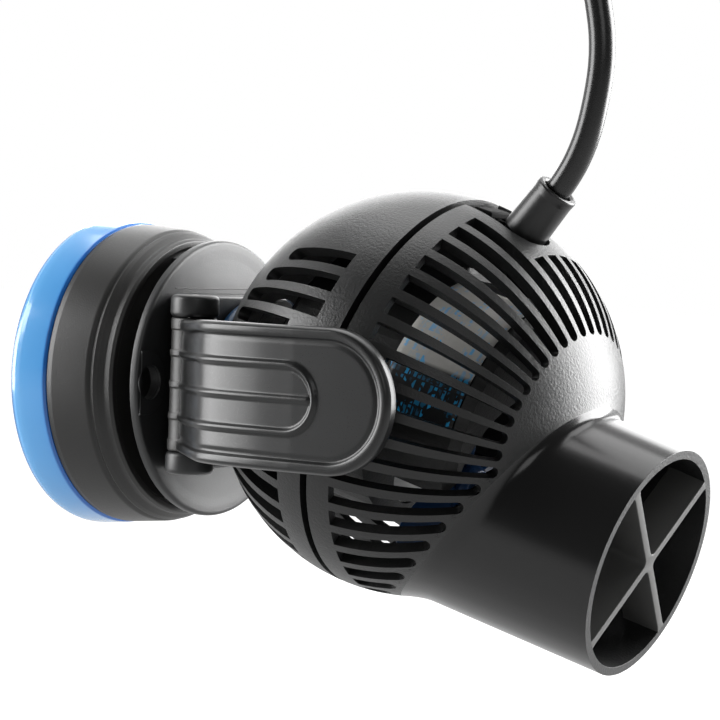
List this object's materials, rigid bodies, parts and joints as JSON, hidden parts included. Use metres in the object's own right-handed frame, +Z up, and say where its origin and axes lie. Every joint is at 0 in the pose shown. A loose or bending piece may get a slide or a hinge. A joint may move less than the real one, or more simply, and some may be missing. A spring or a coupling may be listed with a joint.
{
  "type": "wave maker pump",
  "caption": "Ball-shaped circulation pump in a slotted cage with an angled round outlet, held by two spring jaws on a round magnet mount, with a cord and plug.",
  "frame": {"origin": "centre of the pad's flat face, which lies on the glass", "axes": "+X away from the glass along the magnet's axis, +Z up, the near jaw on the -Y side"},
  "size_m": [0.1518, 0.1942, 0.1882],
  "materials": {
    "pad_blue": "glossy translucent-looking blue elastomer",
    "housing_black": "satin grey-black moulded plastic",
    "holder_grey": "satin dark grey moulded plastic",
    "arm_black": "semi-gloss black moulded plastic",
    "cage_black": "satin black moulded plastic with a fine texture",
    "vane_grey": "satin dark grey moulded plastic",
    "silicone_blue": "soft blue silicone",
    "rubber_black": "semi-matt black rubber",
    "cord_black": "satin black flexible cable sheath",
    "plug_black": "moulded black plug body",
    "stainless": "turned stainless steel",
    "nickel": "bright nickel plate",
    "ferrite": "matt dark grey ferrite magnet",
    "lamination": "stacked dark steel laminations in resin",
    "copper": "enamelled copper wire",
    "ceramic": "white polished ceramic",
    "rotor_blue": "blue moulded plastic",
    "label_print": "pale printed sheet with plain blue bars"
  },
  "bodies": {
    "mount": {"glass_pad": "pad_blue", "magnet_housing": "housing_black", "holding_magnet": "ferrite", "yoke_ring": "stainless", "turn_stud": "stainless", "stud_nut": "stainless"},
    "holder": {"holder_plate": "holder_grey", "plate_screw_1": "stainless", "plate_screw_2": "stainless", "plate_screw_3": "stainless", "plate_screw_4": "stainless", "clamp_base": "holder_grey", "buffer_ring": "silicone_blue", "hinge_pin_near": "stainless", "hinge_pin_far": "stainless"},
    "jaw_near": {"clamp_arm_near": "arm_black", "grip_pad_near": "rubber_black"},
    "jaw_far": {"clamp_arm_far": "arm_black", "grip_pad_far": "rubber_black"},
    "ball": {"front_casing": "cage_black", "rear_casing": "cage_black", "rear_cap": "cage_black", "joint_ring": "cage_black", "casing_latch": "cage_black", "outlet_cross": "vane_grey", "motor_can": "cage_black", "motor_lid": "cage_black", "stator_core": "lamination", "stator_winding": "copper", "rear_bearing": "ceramic", "front_bearing": "ceramic", "motor_label": "label_print", "cable_gland": "rubber_black", "power_cord": "cord_black", "cord_coil": "cord_black", "cord_tail": "cord_black", "cord_tie": "rubber_black", "plug_relief": "plug_black", "plug_body": "plug_black", "plug_shell": "nickel", "plug_pin_1": "nickel", "plug_pin_2": "nickel", "plug_pin_3": "nickel"},
    "rotor": {"rotor_shaft": "ceramic", "rotor_magnet": "ferrite", "propeller": "rotor_blue", "propeller_cap": "rotor_blue"}
  },
  "joints": [
    {"name": "holder_turn", "type": "hinge", "parent": "mount", "child": "holder", "pos_m": [0.033, 0, 0], "axis": [1, 0, 0], "range_deg": [-90, 90]},
    {"name": "jaw_near_open", "type": "hinge", "parent": "holder", "child": "jaw_near", "pos_m": [0.044, -0.0265, 0], "axis": [0, 0, -1], "range_deg": [0, 4], "stiffness_Nm_per_rad": 1.2, "springref_deg": -3.44},
    {"name": "jaw_far_open", "type": "hinge", "parent": "holder", "child": "jaw_far", "pos_m": [0.044, 0.0265, 0], "axis": [0, 0, 1], "range_deg": [0, 4], "stiffness_Nm_per_rad": 1.2, "springref_deg": -3.44},
    {"name": "ball_tilt", "type": "hinge", "parent": "holder", "child": "ball", "pos_m": [0.0877, 0, 0], "axis": [0, 1, 0], "range_deg": [-60, 40]},
    {"name": "rotor_spin", "type": "hinge", "parent": "ball", "child": "rotor", "pos_m": [0.08348, 0, -0.01512], "axis": [0.9632, 0, -0.2689], "continuous": true}
  ]
}
